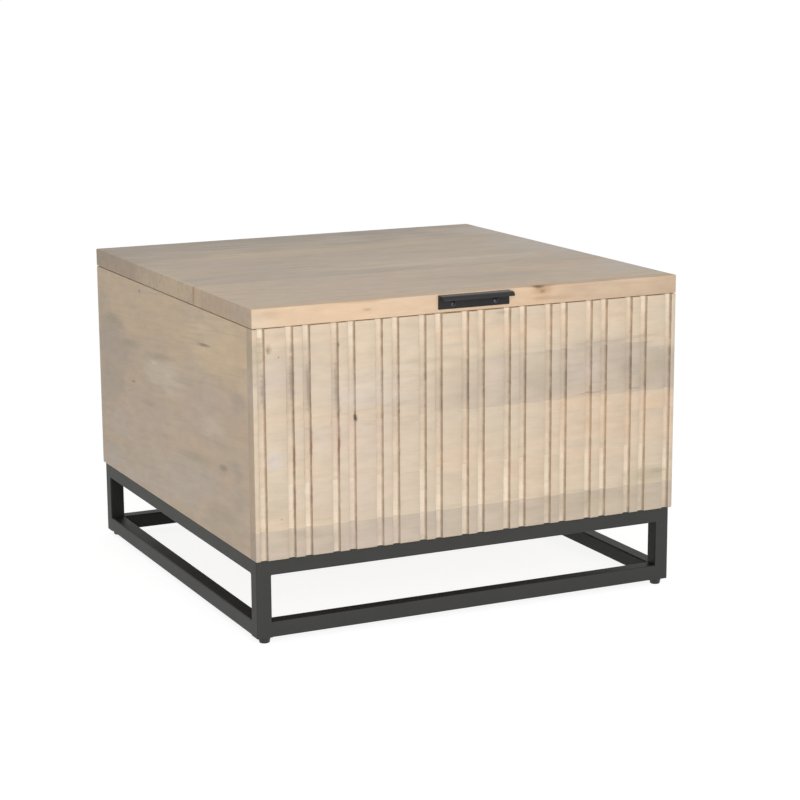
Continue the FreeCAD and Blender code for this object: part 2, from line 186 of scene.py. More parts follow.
class InnerLooks(bpy.types.PropertyGroup):
    """Colours of the wood inside the chest."""

    birch: colour("Birch", "Face of the plywood", "E2CDA6")
    birch_figure: colour("Birch figure", "Wide soft figure of the plywood", "CDB185")
    birch_fibre: colour("Birch fibre", "Fine fibre lines of the plywood", "A98B62")
    dark_ply: colour("Dark ply", "Every other ply on the plywood's edges", "9A7A52")
    beech: colour("Beech", "Dowel rod", "D9B48E")
    beech_fleck: colour("Beech fleck", "Ray flecks of the dowel rod", "B98D66")


class StageLooks(bpy.types.PropertyGroup):
    """Camera, light and floor."""

    lens: FloatProperty(
        name="Lens", description="Focal length on a 36 mm sensor", unit="CAMERA", default=98.27
    )
    camera_place: position("Camera place", "Where the camera stands", (-1.2531, -2.7048, 0.8543))
    camera_turn: FloatVectorProperty(
        name="Camera turn", description="How the camera is turned", subtype="EULER",
        default=(math.radians(78.122), math.radians(0.335), math.radians(-25.624)),
    )
    key_place: position("Key place", "Middle of the large soft light", (-0.7, -3.25, 1.1))
    key_power: FloatProperty(name="Key power", description="Watts of the large soft light", default=55.5)
    fill_place: position("Fill place", "Middle of the weak light at the left", (-3.2, -1.6, 0.9))
    fill_power: FloatProperty(name="Fill power", description="Watts of the weak light", default=4)
    ambient: share("Ambient", "Even light from all round", 0.42)
    floor: colour("Floor", "Pale studio floor", "E8E8E8")
    seen_floor: colour("Seen floor", "Floor that the camera sees, before its glow is added", "9A9A9A")
    floor_glow: share("Floor glow", "White that the camera sees on the floor even in shade", 0.87)


def node(tree, kind, links=None, **settings):
    """Add a shader node; links feeds its inputs, each from a value, a socket or a node's first output."""
    made = tree.nodes.new("ShaderNode" + kind)
    for name, value in settings.items():
        setattr(made, name, value)
    for key, source in (links or {}).items():
        if isinstance(source, bpy.types.Node):
            source = source.outputs[0]
        if isinstance(source, bpy.types.NodeSocket):
            tree.links.new(source, made.inputs[key])
        else:
            made.inputs[key].default_value = source
    return made


def blank_material(name):
    """A new material, its empty node tree, and the sockets for a point's place and the way it faces."""
    material = bpy.data.materials.new(name)
    material.use_nodes = True
    tree = material.node_tree
    tree.nodes.clear()
    point = node(tree, "TexCoord")
    return material, tree, point.outputs["Object"], point.outputs["Normal"]


def surface(tree, links):
    """Close a material with its shader."""
    shader = node(tree, "BsdfPrincipled", links)
    node(tree, "OutputMaterial", {"Surface": shader})


def blotches(tree, coords, sizes, detail=2.0):
    """Soft blotches of real sizes along X, Y and Z, as values from 0 to 1."""
    cells = node(tree, "VectorMath", {0: coords, 1: [1 / size for size in sizes]}, operation="MULTIPLY")
    return node(tree, "TexNoise", {"Vector": cells, "Scale": 1.0, "Detail": detail})


def tinted(tree, tone, tint, value, start=0.0, end=1.0, most=1.0, least=0.0, soft=False):
    """Lay a tint over a tone, from its least to its most share as value goes from start to end."""
    cover = node(
        tree, "MapRange",
        {"Value": value, "From Min": start, "From Max": end, "To Min": least, "To Max": most},
        interpolation_type="SMOOTHSTEP" if soft else "LINEAR",
    )
    mixed = node(tree, "Mix", {FACTOR: cover, COLOUR_A: tone, COLOUR_B: tint}, data_type="RGBA")
    return mixed.outputs[MIXED]


# Wooden boards: grain and through are axes, heart is the heartwood's share at the low and high end of
# the grain, milled the freshness of the groove floors at the foot and top and how much their walls are
# browned and darkened with painted shade, marks are knots, flecks and clouds, warm is the share of rose
# and slope how far the grain runs off the board's length, in degrees
Board = namedtuple(
    "Board", "grain through heart milled marks warm slope", defaults=((0.0, 0.0), None, (), 0.12, 0.0)
)
# A knot, fleck or cloud: its middle, its reach along the grain and on the log's two other axes, both
# in millimetres, how strong it is and the name of its colour
Mark = namedtuple("Mark", "middle reach strength colour", defaults=("knot",))

# Soft clouds of colour that run on across the glue lines, as the boards of a face are cut from one log
FRONT_CLOUDS = (
    Mark((-280, -300, 322), (45, 50, 32), 0.6, "mauve"),
    Mark((-155, -300, 310), (100, 50, 35), 0.6, "chalk"),
    Mark((-170, -300, 250), (90, 50, 50), 0.45, "mauve"),
    Mark((-270, -300, 234), (16, 50, 30), 0.8, "chalk"),
    Mark((-150, -300, 185), (100, 50, 40), 0.4, "mauve"),
    Mark((-275, -300, 175), (30, 50, 25), 0.25, "olive"),
    Mark((200, -300, 235), (150, 50, 50), 0.4, "rose"),
    Mark((268, -300, 253), (24, 50, 18), 0.5, "rose"),
    Mark((262, -300, 155), (45, 50, 16), 0.6, "olive"),
    Mark((100, -300, 375), (200, 50, 30), 0.3, "rose"),
    Mark((-298, -300, 365), (12, 50, 40), 0.6, "olive"),
    Mark((-160, -300, 125), (100, 50, 18), 0.5, "mauve"),
    Mark((180, -300, 127), (140, 50, 20), 0.45, "olive"),
    Mark((-255, -300, 335), (85, 50, 55), 0.35, "heartwood"),
)
# Grooves at the left, where the cutter has burnt the walls and the floors have greyed
FRONT_LINES = (
    Mark((-226.5, -295.5, 316), (3, 10, 36), 1.0, "burn"),
    Mark((-289, -295, 318), (6, 4.5, 50), 0.6, "heartwood"),
    Mark((-289, -295, 372), (6, 4.5, 24), 0.7, "olive"),
    Mark((-251.5, -295, 316), (6, 4.5, 50), 0.7, "heartwood"),
    Mark((-229, -295, 316), (6, 4.5, 50), 0.7, "heartwood"),
    Mark((-191.5, -295, 312), (6, 4.5, 45), 0.7, "heartwood"),
    Mark((-247.8, -297, 330), (3.5, 10, 55), 0.55, "burn"),
    Mark((-187.8, -297, 315), (3.5, 10, 50), 0.5, "burn"),
    Mark((-285.5, -297, 318), (4, 10, 28), 0.5, "ash"),
)
FRONT_BOARDS = {
    "front_board_1": Board(X, Y, (0.62, 0.6), (0.35, 0.4, 1.0), FRONT_CLOUDS + (
        Mark((-235, -300, 135), (40, 20, 8), 0.2, "ash"),
        Mark((-220, -300, 125), (110, 50, 30), 0.13, "ash"),
        Mark((200, -300, 122), (50, 20, 12), 0.35, "sapwood"),
    )),
    "front_board_2": Board(X, Y, (0.1, 0.12), (0.75, 0.6, 1.0), FRONT_CLOUDS + (
        Mark((-265, -300, 159), (3, 10, 2), 0.4),
        Mark((275, -300, 160), (22, 10, 5), 0.25, "ash"),
        Mark((225, -300, 161), (6, 10, 4), 0.25, "ash"),
        Mark((-246.5, -297, 178), (1.6, 6, 26), 0.4, "rust"),
        Mark((-224, -297, 180), (1.6, 6, 24), 0.4, "rust"),
    )),
    "front_board_3": Board(X, Y, (0.15, 0.1), (0.25, 0.15, 1.0), FRONT_CLOUDS + (
        Mark((-186.3, -298, 240), (1.6, 6, 36), 0.6, "rust"),
        Mark((-223.8, -298, 245), (1.6, 6, 36), 0.5, "rust"),
        Mark((-246.3, -298, 235), (1.6, 6, 40), 0.5, "rust"),
    )),
    "front_board_4": Board(X, Y, (0.05, 0.78), (-0.1, -0.2, 1.5), FRONT_CLOUDS + FRONT_LINES + (
        Mark((-163.6, -298, 276.5), (2.6, 8, 6.5), 1.0),
        Mark((172, -300, 276.5), (30, 10, 1.8), 0.28),
        Mark((240, -300, 277), (16, 10, 1.5), 0.24),
        Mark((-20, -300, 305), (35, 20, 35), 0.12, "olive"),
        Mark((35, -300, 310), (20, 20, 30), 0.4, "mauve"),
        Mark((95, -300, 305), (30, 20, 30), 0.3, "olive"),
        Mark((165, -300, 308), (32, 20, 30), 0.45, "mauve"),
        Mark((265, -300, 300), (34, 20, 26), 0.5, "olive"),
        Mark((225, -300, 300), (20, 20, 20), 0.2, "ash"),
        Mark((290, -300, 336), (35, 20, 18), 0.8, "sapwood"),
        Mark((118, -300, 316), (12, 20, 14), 0.35, "sapwood"),
    )),
    "front_board_5": Board(X, Y, (0.08, 0.05), (-0.2, 0.8, 1.1), FRONT_CLOUDS + FRONT_LINES + (
        Mark((-279.5, -300, 372), (5.5, 10, 9), 0.45, "pore"),
        Mark((-280, -300, 370), (2, 10, 5), 0.3),
        Mark((-266, -300, 362), (1.5, 10, 1.5), 0.5),
        Mark((-186, -300, 370), (1.5, 10, 4), 0.5),
        Mark((40, -300, 393.5), (16, 10, 3.5), 0.35, "stain"),
        Mark((200, -300, 338), (90, 20, 12), 0.9, "heartwood"),
        Mark((190, -300, 342.5), (45, 20, 2.2), 0.2, "ash"),
        Mark((250, -300, 345.5), (25, 20, 3), 0.2, "ash"),
        Mark((-30, -300, 340), (110, 20, 6), 0.35, "olive"),
    )),
}
# Boards of the lid and the other walls, grouped where no glue line shows between them
LID_BACK_BOARDS = ("lid_board_3", "lid_board_4", "lid_board_5", "lid_board_6")
LID_PLANKS = {
    "lid_front": (("lid_board_1", "lid_board_2"), Board(X, Z, (0.1, 0.2), None, (
        Mark((-50, -302, 411), (1400, 30, 100), 0.95, "rose"),
        Mark((300, -310, 411), (340, 30, 50), 0.36, "stain"),
        Mark((250, -310, 411), (170, 30, 50), 0.35, "heartwood"),
        Mark((-80, -155, 423), (160, 90, 30), 0.45, "mauve"),
        Mark((90, -190, 423), (90, 70, 30), 0.4, "heartwood"),
        Mark((-250, -260, 423), (70, 30, 30), 0.15, "honey"),
        Mark((300, -200, 423), (90, 90, 15), 0.8, "chalk"),
        Mark((92, -300, 422.5), (10, 8, 5.5), 0.9),
        Mark((98.5, -301, 415.5), (6, 6, 3.5), 0.45),
        Mark((97, -300, 417), (22, 12, 13), 0.45, "stain"),
        Mark((-147, -300, 411.5), (9, 10, 2.8), 0.4, "stain"),
        Mark((-276, -302, 413.5), (18, 10, 8), 0.16, "rust"),
        Mark((130, -302, 407), (20, 10, 6), 0.12, "stain"),
        Mark((190, -302, 414), (30, 10, 6), 0.3, "sapwood"),
        Mark((-150, -301, 422.8), (60, 4, 3), 0.3, "stain"),
        Mark((-20, -300, 399.5), (60, 4, 1.6), 0.4, "stain"),
        Mark((-300, -100, 411), (8, 4, 30), 0.8, "stain"),
        Mark((-300, -117, 411), (8, 16, 30), 0.6, "rose"),
    ), 0.25)),
    "lid_back": (LID_BACK_BOARDS, Board(X, Z, (0.45, 0.38), None, (
        Mark((50, -20, 423), (220, 60, 30), 0.7, "sapwood"),
        Mark((0, 60, 423), (100, 30, 30), 0.3, "heartwood"),
        Mark((-50, 140, 423), (350, 70, 30), 0.3, "honey"),
        # The wide heartwood and grey clouds at the back make the top darker towards the back: heartwood, and
        # painted shade as well
        Mark((-150, 330, 423), (800, 270, 60), 1.0, "heartwood"),
        Mark((-100, 360, 423), (800, 200, 60), 0.32, "ash"),
        Mark((-120, 185, 423), (100, 45, 30), 0.13, "ash"),
        Mark((50, -45, 423), (300, 45, 30), 0.22, "milled"),
        Mark((300, 100, 423), (90, 300, 30), 0.8, "chalk"),
        Mark((-302, 220, 411), (20, 170, 50), 0.2, "stain"),
        Mark((-302, 0, 411), (12, 160, 40), 0.5, "honey"),
        Mark((-300, -100, 411), (8, 3, 30), 0.7, "stain"),
    ), 0.12)),
}
WALL_PLANKS = {
    "left": (("left_board_1", "left_board_2", "left_board_3"), Board(Y, X, (0.25, 0.25), None, (
        Mark((-300, 250, 275), (120, 50, 80), 0.8, "heartwood"),
        Mark((-300, -200, 358), (190, 50, 66), 0.85, "honey"),
        Mark((-300, 60, 372), (280, 50, 50), 0.5, "honey"),
        Mark((-300, -130, 372), (100, 50, 40), 0.7, "honey"),
        Mark((-300, -140, 375), (100, 50, 40), 0.2, "milled"),
        Mark((-300, -250, 180), (50, 50, 30), 0.5, "heartwood"),
        Mark((-300, -115, 265), (130, 50, 50), 0.6, "mauve"),
        Mark((-300, 120, 200), (150, 50, 60), 0.5, "mauve"),
        Mark((-300, -50, 160), (190, 50, 30), 0.5, "chalk"),
        Mark((-300, 210, 187), (60, 50, 30), 0.5, "chalk"),
        Mark((-300, 80, 120), (300, 50, 24), 0.45, "chalk"),
        Mark((-300, 280, 140), (60, 50, 50), 0.4, "heartwood"),
        Mark((-300, 270, 125), (80, 50, 30), 0.6, "chalk"),
        Mark((-300, -165, 247), (55, 50, 20), 0.25, "milled"),
        Mark((-300, -200, 207), (50, 50, 20), 0.4, "heartwood"),
        Mark((-300, 35, 280), (90, 20, 34), 0.85, "sapwood"),
        Mark((-300, 20, 285), (80, 30, 35), 0.3, "milled"),
        Mark((-300, 58, 298), (18, 10, 4), 0.4, "milled"),
        Mark((-300, 2, 287), (14, 10, 4), 0.4, "milled"),
        Mark((-300, 240, 328), (80, 20, 14), 0.7, "olive"),
        Mark((-300, 160, 308), (60, 20, 8), 0.5, "olive"),
        Mark((-300, 20, 311), (75, 20, 8), 0.6, "olive"),
        Mark((-300, -245, 296), (45, 20, 22), 0.8, "heartwood"),
        Mark((-300, -245, 203), (28, 20, 22), 0.7, "heartwood"),
        Mark((-300, -100, 196), (70, 20, 9), 0.55, "olive"),
        Mark((-300, 80, 236), (40, 20, 6), 0.45, "olive"),
        Mark((-300, -190, 142), (60, 20, 14), 0.45, "olive"),
        Mark((-300, -192, 205), (18, 10, 6), 0.5, "ash"),
        Mark((-300, -131, 352.5), (36, 10, 3.2), 0.9, "pore"),
        Mark((-300, 112, 388), (8, 10, 3.5), 0.45),
        Mark((-300, 150, 255), (10, 10, 1.8), 0.5),
        Mark((-300, 166, 240), (6, 10, 1.5), 0.35),
    ), 0.45, 5)),
    "right_low": (("right_board_1",), Board(Y, X, (0.3, 0.5))),
    "right_middle": (("right_board_2",), Board(Y, X, (0.6, 0.2))),
    "right_high": (("right_board_3",), Board(Y, X, (0.1, 0.25), None, (
        Mark((300, 90, 350), (8, 10, 6), 0.6),
        Mark((300, 90, 350), (25, 20, 11), 0.35, "stain"),
    ), 0.3, 2)),
    "back_low": (("back_board_1",), Board(X, Y, (0.5, 0.6))),
    "back_middle": (("back_board_2",), Board(X, Y, (0.15, 0.3))),
    "back_high": (("back_board_3",), Board(X, Y, (0.35, 0.2), None, (
        Mark((-120, 300, 360), (20, 10, 3), 0.4),
    ))),
}


# How a board lies in its log: how far the pith is from the board's middle, through the board and to
# its side, where along the log it was cut, and how far sawing tilts it off the grain
PITH_AWAY = (50 * MM, 110 * MM)
PITH_ASIDE = 30 * MM
LOG_PLACE = 3.0
SAW_TILT = math.radians(1.3)
# What bends the marks out of round: bends of this size, along and across the grain, and of this
# strength as a share of a mark's reach, and fraying by the streaks of the grain
BEND_LENGTH = 130 * MM
BEND_WIDTH = 50 * MM
BEND = 0.8
FRAYING = 1.2


def limed_mango(name, box, board):
    """Mango, sawn, sanded and limed under matte lacquer: pale and chalky, with soft growth rings, grey
    heartwood streaks, short dark pores and browner end grain."""
    looks = bpy.context.scene.table_wood
    material, tree, coords, normal = blank_material(name)
    chance = random.Random(name)
    low, high = box
    across = X + Y + Z - board.grain - board.through
    pith = (low + high) / 2
    pith[board.grain] = chance.uniform(-LOG_PLACE, LOG_PLACE)
    pith[board.through] += chance.choice((-1, 1)) * chance.uniform(*PITH_AWAY)
    pith[across] += chance.uniform(-PITH_ASIDE, PITH_ASIDE)
    lie = Vector((0.0, chance.uniform(-SAW_TILT, SAW_TILT), chance.uniform(-SAW_TILT, SAW_TILT)))
    lie[Z if board.through == Z else Y] += math.radians(board.slope)
    lie.z += math.pi / 2 if board.grain == Y else 0.0
    axes = node(tree, "SeparateXYZ", {0: coords})
    facing = node(tree, "SeparateXYZ", {0: normal})
    # The log's own frame: its pith is the X axis, rings lie round it and fibres run along it
    log = node(tree, "Mapping", {"Vector": coords, "Location": pith, "Rotation": lie}, vector_type="TEXTURE")

    def grain(kind, detail):
        """Blotches drawn out along the log, as long and as wide as the settings say."""
        width = getattr(looks, kind + "_width")
        return blotches(tree, log, (getattr(looks, kind + "_length"), width, width), detail)

    blotch = grain("blotch", 2.0)
    tone = tinted(tree, looks.sapwood, looks.rose, blotch, 0.35, 0.65, board.warm + 0.2, board.warm - 0.2)
    # Rings wander slowly along the log, so their wobble is drawn out along the grain
    drawn_out = node(tree, "VectorMath", {0: log, 1: (0.15, 1, 1)}, operation="MULTIPLY")
    rings = node(
        tree, "TexWave",
        {
            "Vector": drawn_out, "Scale": math.pi / (10 * looks.ring_spacing),
            "Distortion": 6.0, "Detail": 2.0, "Detail Scale": 0.7,
        },
        wave_type="RINGS", rings_direction="X",
    )
    tone = tinted(tree, tone, looks.heartwood, rings.outputs["Fac"], most=0.12)

    # Heartwood grows from the board's low end to its high end, in soft clouds
    growth = node(
        tree, "MapRange",
        {
            "Value": axes.outputs[board.grain], "From Min": low[board.grain], "From Max": high[board.grain],
            "To Min": board.heart[0], "To Max": board.heart[1],
        },
    )
    clouded = node(tree, "Math", {0: grain("heart", 3.0), 1: 1.1, 2: growth}, operation="MULTIPLY_ADD")
    tone = tinted(tree, tone, looks.heartwood, clouded, 0.55, 1.45, soft=True)

    # Cuts across the fibres drink more finish and look browner
    crossing = node(tree, "Math", {0: facing.outputs[board.grain]}, operation="ABSOLUTE")
    tone = tinted(tree, tone, looks.end_grain, crossing, 0.4, 1.0, 0.32, soft=True)
    if board.milled:
        tone = milled_grooves(tree, tone, coords, axes, facing, crossing, box, board.milled)

    # Marks are bent alike on all the boards of a face, so that they run on across the glue lines
    bends = [BEND_WIDTH] * 3
    bends[board.grain] = BEND_LENGTH
    sway = blotches(tree, coords, bends)
    bend = node(
        tree, "VectorMath", {0: sway.outputs["Color"], 1: [2 * BEND] * 3, 2: [-BEND] * 3},
        operation="MULTIPLY_ADD",
    )
    streak = grain("streak", 3.0)
    for mark in board.marks:
        middle = Euler(lie).to_matrix().inverted() @ (Vector(mark.middle) * MM - pith)
        tone = wood_mark(tree, tone, log, middle, bend, streak, mark)

    # The fine grain lies over all of this
    tone = tinted(tree, tone, looks.pore, streak, 0.52, 0.8, 0.09, soft=True)
    # Fibre lines and pores are a few tenths of a millimetre wide, and drawn coarser here to show
    fibre = grain("fibre", 3.0)
    tone = tinted(tree, tone, looks.pore, fibre, 0.35, 0.75, 0.05)
    pore = node(
        tree, "MapRange", {"Value": grain("pore", 1.0), "From Min": 0.66, "From Max": 0.76},
        interpolation_type="SMOOTHSTEP",
    )
    tone = tinted(tree, tone, looks.pore, pore, most=0.1)
    # Fibres that rise and dip throw back more or less light
    mottle = node(
        tree, "MapRange",
        {
            "Value": grain("mottle", 4.0), "From Min": 0.3, "From Max": 0.7,
            "To Min": 1 - looks.mottle_depth, "To Max": 1 + looks.mottle_depth,
        },
    )
    tone = node(tree, "HueSaturation", {"Value": mottle, "Color": tone})

    relief = node(tree, "Math", {0: pore, 1: -1.5, 2: fibre}, operation="MULTIPLY_ADD")
    bump = node(tree, "Bump", {"Height": relief, "Strength": 0.35, "Distance": 0.15 * MM})
    gloss = node(tree, "MapRange", {"Value": fibre, "To Min": 0.5, "To Max": 0.66})
    surface(
        tree,
        {"Base Color": tone, "Roughness": gloss, "Normal": bump, "IOR": 1.5, "Specular IOR Level": 0.35},
    )
    return material


SCORCH_SIZE = 10 * MM
PATCH_WIDTH = 22 * MM
PATCH_HEIGHT = 60 * MM
FLOOR_SLACK = 1.2 * MM  # how far off the groove's depth still counts as its floor
END_MARGIN = 2 * MM  # the front's own ends, which the cutter didn't touch


def milled_grooves(tree, tone, coords, axes, facing, crossing, box, milled):
    """Groove walls browned by the cutter and darkened with painted shade, more as the floor curves up into
    them, and groove floors left paler than the sanded slats.
    """
    looks = bpy.context.scene.table_wood
    low, high = box
    foot_fresh, top_fresh, browned_and_shaded = milled
    off_middle = node(tree, "Math", {0: axes.outputs[X]}, operation="ABSOLUTE")
    inside = node(tree, "Math", {0: off_middle, 1: high.x - END_MARGIN}, operation="LESS_THAN")
    # Painted shade and cutter burn: the further a face turns from the floor towards a wall, the darker it is
    # painted
    wall = node(tree, "MapRange", {"Value": crossing, "From Min": 0.15, "From Max": 0.9})
    scorch = blotches(tree, coords, [SCORCH_SIZE] * 3, 4.0)
    uneven = node(
        tree, "MapRange",
        {"Value": scorch, "From Min": 0.36, "From Max": 0.66, "To Min": 0.12, "To Max": 0.44 * browned_and_shaded},
    )
    scorched = node(tree, "Math", {0: wall, 1: uneven}, operation="MULTIPLY")
    burnt_and_shaded = node(tree, "Math", {0: scorched, 1: inside}, operation="MULTIPLY")
    tone = tinted(tree, tone, looks.burn, burnt_and_shaded)

    floor_level = low.y + bpy.context.scene.table_front.groove_depth
    level = node(tree, "Math", {0: axes.outputs[Y], 1: floor_level, 2: FLOOR_SLACK}, operation="COMPARE")
    forward = node(tree, "MapRange", {"Value": facing.outputs[Y], "From Min": -0.75, "From Max": -0.98})
    floor = node(tree, "Math", {0: level, 1: forward}, operation="MULTIPLY")
    freshness = node(
        tree, "MapRange",
        {
            "Value": axes.outputs[Z], "From Min": low.z, "From Max": high.z,
            "To Min": foot_fresh, "To Max": top_fresh,
        },
    )
    # Each groove is fresh in other places than its neighbours
    patch = blotches(tree, coords, (PATCH_WIDTH, math.inf, PATCH_HEIGHT))
    patchy = node(
        tree, "MapRange",
        {"Value": patch, "From Min": 0.3, "From Max": 0.7, "To Min": -0.35, "To Max": 0.35},
    )
    pale = node(tree, "Math", {0: freshness, 1: patchy}, operation="ADD", use_clamp=True)
    cut = node(tree, "Math", {0: pale, 1: floor}, operation="MULTIPLY")
    return tinted(tree, tone, looks.milled, cut)


def wood_mark(tree, tone, log, middle, bend, streak, mark):
    """A knot, fleck or cloud with a ragged edge, drawn out along the grain and laid over the wood's tone."""
    away = node(tree, "VectorMath", {0: log, 1: middle}, operation="SUBTRACT")
    shrink = [1 / (reach * MM) for reach in mark.reach]
    bent = node(tree, "VectorMath", {0: away, 1: shrink, 2: bend}, operation="MULTIPLY_ADD")
    distance = node(tree, "VectorMath", {0: bent}, operation="LENGTH").outputs["Value"]
    ragged = node(tree, "Math", {0: streak, 1: FRAYING, 2: distance}, operation="MULTIPLY_ADD")
    tint = getattr(bpy.context.scene.table_wood, mark.colour)
    return tinted(tree, tone, tint, ragged, 1.7, 0.7, mark.strength, soft=True)


# How far the roughness strays from its middle value
COAT_SPREAD = 0.06
SPREAD = 0.08


def powder_coat(name, coat, rough, sheen, lip_highlight_span=None, shade_inner_faces=False):
    """Powder-coated steel, baked: a satin film with a faint orange peel and slightly uneven gloss.
    A pair of Y values, if given, bounds a paler band: a painted highlight on the pull's lip, and finger
    wear as well. On the frame the faces that look inwards or up are painted darker, as painted shade under
    the chest and inside the frame."""
    looks = bpy.context.scene.table_steel
    material, tree, coords, normal = blank_material(name)
    # The peel of a real coat is about 1 mm across, and drawn coarser here to show
    peel = blotches(tree, coords, [looks.coat_grain] * 3)
    cloud = blotches(tree, coords, [looks.coat_cloud] * 3, 3.0)
    tone = tinted(tree, coat, looks.coat_bloom, cloud, 0.3, 0.7, 0.12)
    # A paler band between two Y values: a painted highlight on the pull's lip, and finger wear as well
    if lip_highlight_span:
        axes = node(tree, "SeparateXYZ", {0: coords})
        tone = tinted(tree, tone, looks.lip_highlight_and_wear, axes.outputs[Y], *lip_highlight_span, 0.1)
    # Painted shade: faces that look inwards or up, under the chest and inside the frame, are painted darker
    if shade_inner_faces:
        level = node(tree, "VectorMath", {0: coords, 1: (1, 1, 0)}, operation="MULTIPLY")
        outward = node(tree, "VectorMath", {0: level}, operation="NORMALIZE")
        facing = node(tree, "VectorMath", {0: normal, 1: outward}, operation="DOT_PRODUCT")
        tone = tinted(tree, tone, looks.painted_inner_shade, facing.outputs["Value"], 0.45, 0.1, 0.75)
    gloss = node(
        tree, "MapRange", {"Value": cloud, "To Min": rough - COAT_SPREAD, "To Max": rough + COAT_SPREAD},
    )
    bump = node(tree, "Bump", {"Height": peel, "Strength": 0.2, "Distance": 0.1 * MM})
    surface(
        tree,
        {"Base Color": tone, "Roughness": gloss, "Normal": bump, "IOR": 1.5, "Specular IOR Level": sheen},
    )
    return material


def metal(name, tint, rough, cell):
    """Plated steel: bright, with a mottle of crystals that changes its colour and gloss a little."""
    material, tree, coords, _ = blank_material(name)
    crystal = node(tree, "TexVoronoi", {"Vector": coords, "Scale": 1 / cell}, feature="F1")
    mottle = node(tree, "SeparateColor", {0: crystal.outputs["Color"]})
    darker = [c * 0.8 for c in tint[:3]] + [1.0]
    tone = tinted(tree, tint, darker, mottle)
    gloss = node(
        tree, "MapRange", {"Value": mottle.outputs[1], "To Min": rough - SPREAD, "To Max": rough + SPREAD},
    )
    surface(tree, {"Base Color": tone, "Metallic": 1.0, "Roughness": gloss})
    return material


def moulded(name, tint, rough, grit):
    """Moulded plastic or rubber: one even colour with the fine matt grit of the mould."""
    material, tree, coords, _ = blank_material(name)
    # Spark grit of a mould is about 0.1 mm, and drawn coarser here to show
    spark = blotches(tree, coords, [grit] * 3, 1.0)
    lighter = [min(1.0, c * 1.35 + 0.004) for c in tint[:3]] + [1.0]
    tone = tinted(tree, tint, lighter, spark)
    gloss = node(tree, "MapRange", {"Value": spark, "To Min": rough - SPREAD, "To Max": rough + SPREAD})
    bump = node(tree, "Bump", {"Height": spark, "Strength": 0.25, "Distance": 0.05 * MM})
    surface(tree, {"Base Color": tone, "Roughness": gloss, "Normal": bump, "IOR": 1.49})
    return material


def birch_plywood(name, box, plies=7):
    """Rotary-cut birch plywood, sanded and raw: wide soft figure on the face, thin plies on the edges."""
    looks = bpy.context.scene.table_inner
    material, tree, coords, normal = blank_material(name)
    low, high = box
    axes = node(tree, "SeparateXYZ", {0: coords})
    facing = node(tree, "SeparateXYZ", {0: normal})
    figure = blotches(tree, coords, (320 * MM, 26 * MM, 26 * MM), 3.0)
    tone = tinted(tree, looks.birch, looks.birch_figure, figure)
    # Fibre lines are a few tenths of a millimetre wide, and drawn coarser here to show
    fibre = blotches(tree, coords, (30 * MM, 1.5 * MM, 1.5 * MM))
    tone = tinted(tree, tone, looks.birch_fibre, fibre, 0.45, 0.8, 0.3)
    ply = node(
        tree, "MapRange",
        {"Value": axes.outputs[Z], "From Min": low.z, "From Max": high.z, "To Max": float(plies)},
    )
    odd = node(tree, "Math", {0: ply, 1: 1.0}, operation="PINGPONG")
    dark_ply = node(tree, "Math", {0: odd, 1: 0.5}, operation="GREATER_THAN")
    upright = node(tree, "Math", {0: facing.outputs[Z]}, operation="ABSOLUTE")
    on_edge = node(tree, "Math", {0: upright, 1: 0.5}, operation="LESS_THAN")
    edge_ply = node(tree, "Math", {0: dark_ply, 1: on_edge}, operation="MULTIPLY")
    tone = tinted(tree, tone, looks.dark_ply, edge_ply, most=0.6)
    bump = node(tree, "Bump", {"Height": fibre, "Strength": 0.3, "Distance": 0.1 * MM})
    surface(tree, {"Base Color": tone, "Roughness": 0.72, "Normal": bump, "IOR": 1.5})
    return material


def fluted_beech(name):
    """Beech dowel rod, raw: pinkish tan with short darker ray flecks along it."""
    looks = bpy.context.scene.table_inner
    material, tree, coords, _ = blank_material(name)
    flecks = blotches(tree, coords, (6 * MM, 1.5 * MM, 1.5 * MM))
    tone = tinted(tree, looks.beech, looks.beech_fleck, flecks, 0.5, 0.7)
    surface(tree, {"Base Color": tone, "Roughness": 0.7, "IOR": 1.5})
    return material


def finish_node(name, material):
    """Give a CAD node its finish."""
    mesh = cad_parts[name].data
    mesh.materials.clear()
    mesh.materials.append(material)


def new_piece(name, mesh, material, body, slot, *replaced):
    """Show a finished mesh as a piece of the table, in place of CAD nodes."""
    mesh.polygons.foreach_set("use_smooth", [True] * len(mesh.polygons))
    mesh.set_sharp_from_angle(angle=SMOOTH_ANGLE)
    mesh.materials.append(material)
    piece = bpy.data.objects.new(name, mesh)
    bpy.context.scene.collection.objects.link(piece)
    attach(piece, body)
    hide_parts(*replaced)


def plain_mesh(name, points, faces):
    """A mesh from its points and faces, with its faces turned outwards."""
    mesh = bpy.data.meshes.new(name)
    mesh.from_pydata(points, [], faces)
    work = bmesh.new()
    work.from_mesh(mesh)
    bmesh.ops.recalc_face_normals(work, faces=work.faces)
    work.to_mesh(mesh)
    work.free()
    return mesh


def arc_points(middle, radius, start, sweep, steps):
    """Points on an arc about a middle, with angles in degrees."""
    angles = [math.radians(start + sweep * step / steps) for step in range(steps + 1)]
    return [(middle[0] + radius * math.cos(a), middle[1] + radius * math.sin(a)) for a in angles]


def joined(name, parts):
    """One mesh made of several, which are used up."""
    whole = bmesh.new()
    for part in parts:
        whole.from_mesh(part)
        bpy.data.meshes.remove(part)
    mesh = bpy.data.meshes.new(name)
    whole.to_mesh(mesh)
    whole.free()
    return mesh


def stood(mesh, low, high):
    """Move a mesh from the origin to the middle of a box's foot."""
    mesh.transform(Matrix.Translation(((low.x + high.x) / 2, (low.y + high.y) / 2, low.z)))
    return mesh


def walls(first, around, rows):
    """Four-sided faces between rows of points that close on themselves, numbered from first."""
    faces = []
    for row in range(rows - 1):
        here = first + row * around
        for spot in range(around):
            after = (spot + 1) % around
            faces.append((here + spot, here + after, here + around + after, here + around + spot))
    return faces


